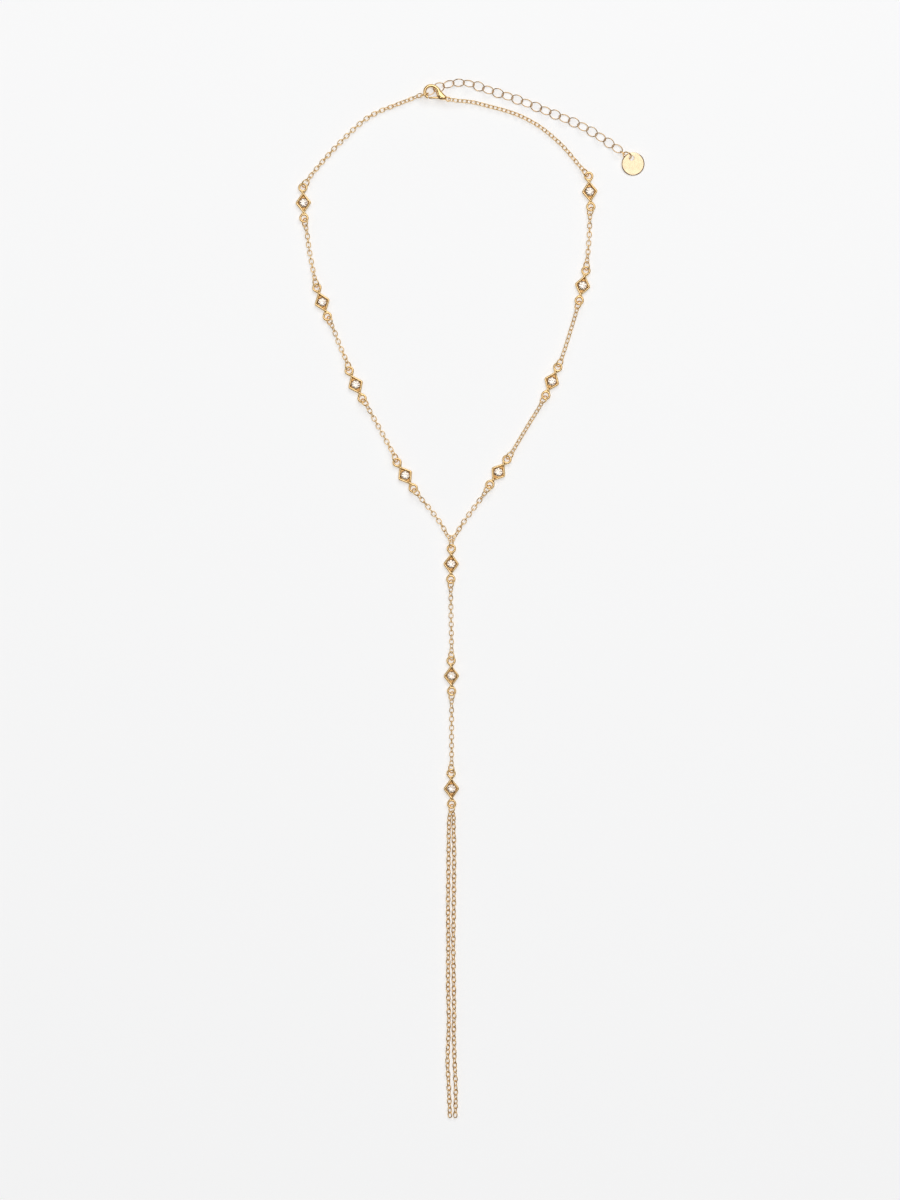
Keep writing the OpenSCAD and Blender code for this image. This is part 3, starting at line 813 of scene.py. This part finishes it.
def pin_bore():
    """The room in the lever that the pin goes through."""
    bm = bmesh.new()
    round_pin(bm, [(-1, BORE_RADIUS), (1, BORE_RADIUS)], 24)
    return bpy.data.objects.new("pin_bore", mesh_of(bm, "pin_bore"))


# Operators, one for each group of like pieces


class NECKLACE_OT_wire(bpy.types.Operator):
    """Give the chain and the rings their plated finish"""

    bl_idname = "necklace.wire"
    bl_label = "Plate the chain and rings"

    def execute(self, context):
        for name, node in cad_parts.items():
            if name.startswith("chain_") or name.endswith(("ring", "rings")):
                node.data.materials.clear()
                node.data.materials.append(finish_named("gold_plated_wire"))
        return {"FINISHED"}


class NECKLACE_OT_settings(bpy.types.Operator):
    """Make the eleven lozenge settings"""

    bl_idname = "necklace.settings"
    bl_label = "Make the settings"

    def execute(self, context):
        template = setting_template()
        for name, (x, y, turn) in SETTINGS.items():
            bm = bmesh.new()
            laid_copy(bm, template, Matrix.Translation((x, y, 0))
                      @ Matrix.Rotation(math.radians(turn), 4, "Z"))
            # The second finish paints shade into the trough and the seat as a darker gold
            finish_piece(f"rim_{name}", bm, "necklace", [f"setting_{name}"],
                         ["gold_plated_casting", "dull_recess_painted_shade"])
        bpy.data.meshes.remove(template)
        return {"FINISHED"}


class NECKLACE_OT_stones(bpy.types.Operator):
    """Make the eleven round crystals"""

    bl_idname = "necklace.stones"
    bl_label = "Make the crystals"

    def execute(self, context):
        template = stone_template()
        for index, (name, (x, y, turn)) in enumerate(SETTINGS.items()):
            bm = bmesh.new()
            # Each stone was dropped in its seat at its own turn
            laid_copy(bm, template, Matrix.Translation((x, y, 0))
                      @ Matrix.Rotation(math.radians(turn + 17 * index), 4, "Z"))
            finish_piece(f"crystal_{name}", bm, "necklace", [f"stone_{name}"],
                         ["cut_lead_crystal", "silver_foil_back"], sharp_degrees=0)
        bpy.data.meshes.remove(template)
        return {"FINISHED"}


class NECKLACE_OT_drop_chains(bpy.types.Operator):
    """Link the two chains between the drop's settings"""

    bl_idname = "necklace.drop_chains"
    bl_label = "Link the drop chains"

    def execute(self, context):
        link, ring = link_template(), ring_template()
        for name, (upper, lower, route) in DROP_ROUTES.items():
            meetings = run_meetings(eye_place(upper, -1), eye_place(lower, 1), route)
            bm = bmesh.new()
            last = len(meetings) - 2
            for k in range(last + 1):
                # Links turn further across each other towards the middle of the run
                roll = LINK_LEAN + 90 * k + DROP_TWIST * math.sin(math.pi * k / last)
                if k in (0, last):
                    roll += math.copysign(
                        JUMP_LEAN - LINK_LEAN, math.sin(math.radians(2 * roll)))
                laid_copy(bm, ring if k in (0, last) else link,
                          between(meetings[k], meetings[k + 1], roll))
            finish_piece(f"links_{name[6:]}", bm, "necklace", [name],
                         ["gold_plated_wire"], sharp_degrees=WIRE_EDGE)
        for mesh in (link, ring):
            bpy.data.meshes.remove(mesh)
        return {"FINISHED"}


class NECKLACE_OT_tassel(bpy.types.Operator):
    """Link the tassel's two strands"""

    bl_idname = "necklace.tassel"
    bl_label = "Link the tassel"

    def execute(self, context):
        sizes = context.scene.necklace_sizes
        link = link_template((sizes.tassel_link_wire - sizes.link_wire) / MM)
        eye = eye_place("drop_3", -1)
        for phase, (name, (hook, route)) in enumerate(TASSEL_ROUTES.items()):
            first, second = [Vector((eye.x + across_by, eye.y - down, height))
                             for down, across_by, height in hook]
            path = smooth([second] + [Vector((x, y, CHAIN_HEIGHT)) for x, y in route], 4)
            table = travelled(path)
            free = table[-1] - TASSEL_END_ROOM
            count = math.ceil(free / LINK_STEP)
            meetings = [first] + [along(path, table, free * k / count) for k in range(count + 1)]
            bm = bmesh.new()
            for k, (a, b) in enumerate(zip(meetings, meetings[1:])):
                sway = (TASSEL_SWAY * math.sin(SWAY_PER_LINK * k + SWAY_BETWEEN_STRANDS * phase)
                        * min(k / SWAY_FULL_AFTER, 1))
                laid_copy(bm, link, between(a, b, TASSEL_LEANS[k % 2] + sway))
            finish_piece(f"links_{name}", bm, "necklace", [name], ["gold_plated_wire"],
                         sharp_degrees=WIRE_EDGE)
        bpy.data.meshes.remove(link)
        return {"FINISHED"}


class NECKLACE_OT_extender(bpy.types.Operator):
    """Link the extender chain"""

    bl_idname = "necklace.extender"
    bl_label = "Link the extender"

    def execute(self, context):
        link = extender_template()
        start = [Vector(p) for p in EXTENDER_START]
        placed = len(EXTENDER_ROLLS)
        path = smooth(start[placed:] + [Vector(p) for p in EXTENDER_ROUTE], 6)
        table = travelled(path)
        sizes = context.scene.necklace_sizes
        step = (sizes.extender_length - 2 * sizes.extender_wire) / MM - LINK_PLAY
        more = math.ceil(table[-1] / step)
        meetings = start[:placed] + [
            along(path, table, table[-1] * k / more) for k in range(more + 1)]
        rolls = EXTENDER_ROLLS + [
            EXTENDER_ROLL if k % 2 else -EXTENDER_ROLL for k in range(placed, placed + more)]
        bm = bmesh.new()
        for a, b, roll in zip(meetings, meetings[1:], rolls):
            laid_copy(bm, link, between(a, b, roll))
        bpy.data.meshes.remove(link)
        finish_piece("links_extender", bm, "necklace", ["extender_chain"],
                     ["light_gold_plated_wire"], sharp_degrees=WIRE_EDGE)
        return {"FINISHED"}


class NECKLACE_OT_clasp(bpy.types.Operator):
    """Make the lobster clasp's body with its pin and tail eye"""

    bl_idname = "necklace.clasp"
    bl_label = "Make the clasp"

    def execute(self, context):
        casting = clasp_casting()
        bm = bmesh.new()
        laid_copy(bm, casting, at_clasp())
        bpy.data.meshes.remove(casting)
        middle, radius, bar = TAIL_EYE
        tail = [Vector((middle + radius * math.cos(a), radius * math.sin(a), 0))
                for a in angles(32)]
        made = sweep(bm, path_stations(tail, bar, bar, closed=True), 12, closed=True)
        # Closing the eye merged its last points with its first
        bmesh.ops.transform(bm, matrix=at_clasp(), verts=[v for v in made if v.is_valid])
        made = round_pin(bm, PIN_PROFILE, 20)
        bmesh.ops.transform(bm, matrix=at_clasp(), verts=made)
        finish_piece("clasp_casting", bm, "necklace", ["clasp_body"],
                     ["gold_plated_casting"])
        return {"FINISHED"}


class NECKLACE_OT_lever(bpy.types.Operator):
    """Make the clasp's sprung lever"""

    bl_idname = "necklace.lever"
    bl_label = "Make the lever"

    def execute(self, context):
        bar = LEVER_TIP - PIVOT
        way = bar.normalized()
        # Distance from the pin, half width and half height along the lever
        profile = [
            (-0.74, 0.12, 0.2), (-0.7, 0.28, 0.28), (-0.55, 0.52, 0.33), (-0.3, 0.69, 0.35),
            (0.0, 0.75, 0.35), (0.3, 0.69, 0.35), (0.6, 0.54, 0.35), (0.95, 0.43, 0.35),
            (1.6, 0.4, 0.34), (bar.length - 0.25, 0.38, 0.33), (bar.length - 0.07, 0.32, 0.28),
            (bar.length, 0.18, 0.16)]
        bm = bmesh.new()
        sweep(bm, path_stations([PIVOT + way * s for s, w, h in profile],
                                [w for s, w, h in profile], [h for s, w, h in profile]), 16)
        lever = carved(bm, pin_bore())
        bm = bmesh.new()
        laid_copy(bm, lever, at_clasp())
        bpy.data.meshes.remove(lever)
        finish_piece("lever_bar", bm, "lever", ["clasp_lever"], ["gold_plated_casting"])
        return {"FINISHED"}


class NECKLACE_OT_tag(bpy.types.Operator):
    """Make the bare disc tag"""

    bl_idname = "necklace.tag"
    bl_label = "Make the disc tag"

    def execute(self, context):
        middle, (rx, ry, rz) = TAG_HOLE
        place = (
            Matrix.Translation(middle)
            @ Matrix.Rotation(math.radians(rz), 4, "Z") @ Matrix.Rotation(math.radians(ry), 4, "Y")
            @ Matrix.Rotation(math.radians(rx), 4, "X"))
        edge = TAG_THICKNESS / 2
        bm = bmesh.new()
        # Stamped edges: a soft outer edge and a soft edge round the hole
        rims = [(TAG_RADIUS - 0.36, edge), (TAG_RADIUS - 0.3, edge * 0.92),
                (TAG_RADIUS - 0.06, edge * 0.35), (TAG_RADIUS, edge * 0.1)]
        holes = [(TAG_HOLE_RADIUS + 0.14, edge), (TAG_HOLE_RADIUS + 0.09, edge * 0.98),
                 (TAG_HOLE_RADIUS + 0.03, edge * 0.75), (TAG_HOLE_RADIUS, edge * 0.3)]
        profile = (
            holes[::-1] + rims + [(r, -z) for r, z in rims[::-1]] + [(r, -z) for r, z in holes])
        # Of the profile's loops, these lie round the disc's own middle and the rest round the hole
        outer = range(len(holes), len(holes) + 2 * len(rims))
        loops, flats = [], set()
        for i, (r, z) in enumerate(profile):
            loops.append(loop_at(bm, [
                (r * math.cos(a), r * math.sin(a) - (TAG_HOLE_REACH if i in outer else 0))
                for a in angles(TAG_POINTS)], z))
        for i, (a, b) in enumerate(zip(loops, loops[1:] + loops[:1])):
            # The two wide faces lie between circles that don't share a middle, so they are filled
            if i in (outer.start - 1, outer.stop - 1):
                filled = bmesh.ops.triangle_fill(bm, use_beauty=True, edges=a + b)["geom"]
                flats.update(g for g in filled if isinstance(g, bmesh.types.BMFace))
            else:
                bmesh.ops.bridge_loops(bm, edges=a + b)
        # Both are dead flat, so each is one crisp region
        for face in flats:
            for e in face.edges:
                if sum(f in flats for f in e.link_faces) == 1:
                    e.smooth = False
        bmesh.ops.transform(bm, matrix=place, verts=bm.verts)
        finish_piece("tag_disc", bm, "necklace", ["disc_tag"], ["pale_plated_disc"])
        return {"FINISHED"}


class NECKLACE_OT_stage(bpy.types.Operator):
    """Set the paper, the soft lights and the camera"""

    bl_idname = "necklace.stage"
    bl_label = "Set the stage"

    def execute(self, context):
        scene = context.scene
        bm = bmesh.new()
        bmesh.ops.create_grid(bm, x_segments=1, y_segments=1, size=PAPER_REACH)
        mesh = bpy.data.meshes.new("paper")
        bm.to_mesh(mesh)
        bm.free()
        mesh.materials.append(finish_named("matt_studio_paper"))
        paper = bpy.data.objects.new("paper", mesh)
        scene.collection.objects.link(paper)

        world = bpy.data.worlds.new("studio")
        scene.world = world
        world.use_nodes = True
        room = world.node_tree.nodes["Background"]
        room.inputs["Color"].default_value = ROOM_COLOUR
        room.inputs["Strength"].default_value = ROOM_STRENGTH
        for name, place, width, height, radiance in SOFTBOXES:
            light = bpy.data.lights.new(name, "AREA")
            light.shape, light.size, light.size_y = "RECTANGLE", width, height
            light.energy = radiance * math.pi * width * height
            lamp = bpy.data.objects.new(name, light)
            scene.collection.objects.link(lamp)
            lamp.location = place
            lamp.rotation_euler = (-Vector(place)).to_track_quat("-Z", "Y").to_euler()

        # Straight above, as the photograph was taken
        camera = bpy.data.cameras.new("overhead_camera")
        camera.sensor_fit = "VERTICAL"
        camera.angle = 2 * math.atan(VIEW_HEIGHT / 2 * MM / CAMERA_HEIGHT)
        camera.clip_start, camera.clip_end = 0.01, 50
        viewer = bpy.data.objects.new("overhead_camera", camera)
        viewer.location = (VIEW_MIDDLE[0] * MM, VIEW_MIDDLE[1] * MM, CAMERA_HEIGHT)
        scene.collection.objects.link(viewer)
        scene.camera = viewer
        scene.view_settings.view_transform = "Standard"
        return {"FINISHED"}


class NECKLACE_PT_panel(bpy.types.Panel):
    """Lists the steps that dress the necklace"""

    bl_idname = "NECKLACE_PT_panel"
    bl_label = "Y Necklace"
    bl_space_type = "VIEW_3D"
    bl_region_type = "UI"
    bl_category = "Necklace"

    def draw(self, context):
        layout = self.layout
        for group in (context.scene.necklace_colours, context.scene.necklace_sizes):
            for name in group.__annotations__:
                layout.prop(group, name)
        for step in STEPS:
            layout.operator(step.bl_idname)


STEPS = (
    NECKLACE_OT_wire, NECKLACE_OT_settings, NECKLACE_OT_stones, NECKLACE_OT_drop_chains,
    NECKLACE_OT_tassel, NECKLACE_OT_extender, NECKLACE_OT_clasp, NECKLACE_OT_lever,
    NECKLACE_OT_tag, NECKLACE_OT_stage)
CLASSES = (NecklaceColours, NecklaceSizes, *STEPS, NECKLACE_PT_panel)


def register():
    for cls in CLASSES:
        bpy.utils.register_class(cls)
    bpy.types.Scene.necklace_colours = PointerProperty(type=NecklaceColours)
    bpy.types.Scene.necklace_sizes = PointerProperty(type=NecklaceSizes)


def unregister():
    del bpy.types.Scene.necklace_sizes
    del bpy.types.Scene.necklace_colours
    for cls in reversed(CLASSES):
        bpy.utils.unregister_class(cls)


def main():
    register()
    bpy.ops.necklace.wire()
    bpy.ops.necklace.settings()
    bpy.ops.necklace.stones()
    bpy.ops.necklace.drop_chains()
    bpy.ops.necklace.tassel()
    bpy.ops.necklace.extender()
    bpy.ops.necklace.clasp()
    bpy.ops.necklace.lever()
    bpy.ops.necklace.tag()
    bpy.ops.necklace.stage()


if __name__ == "__main__":
    main()
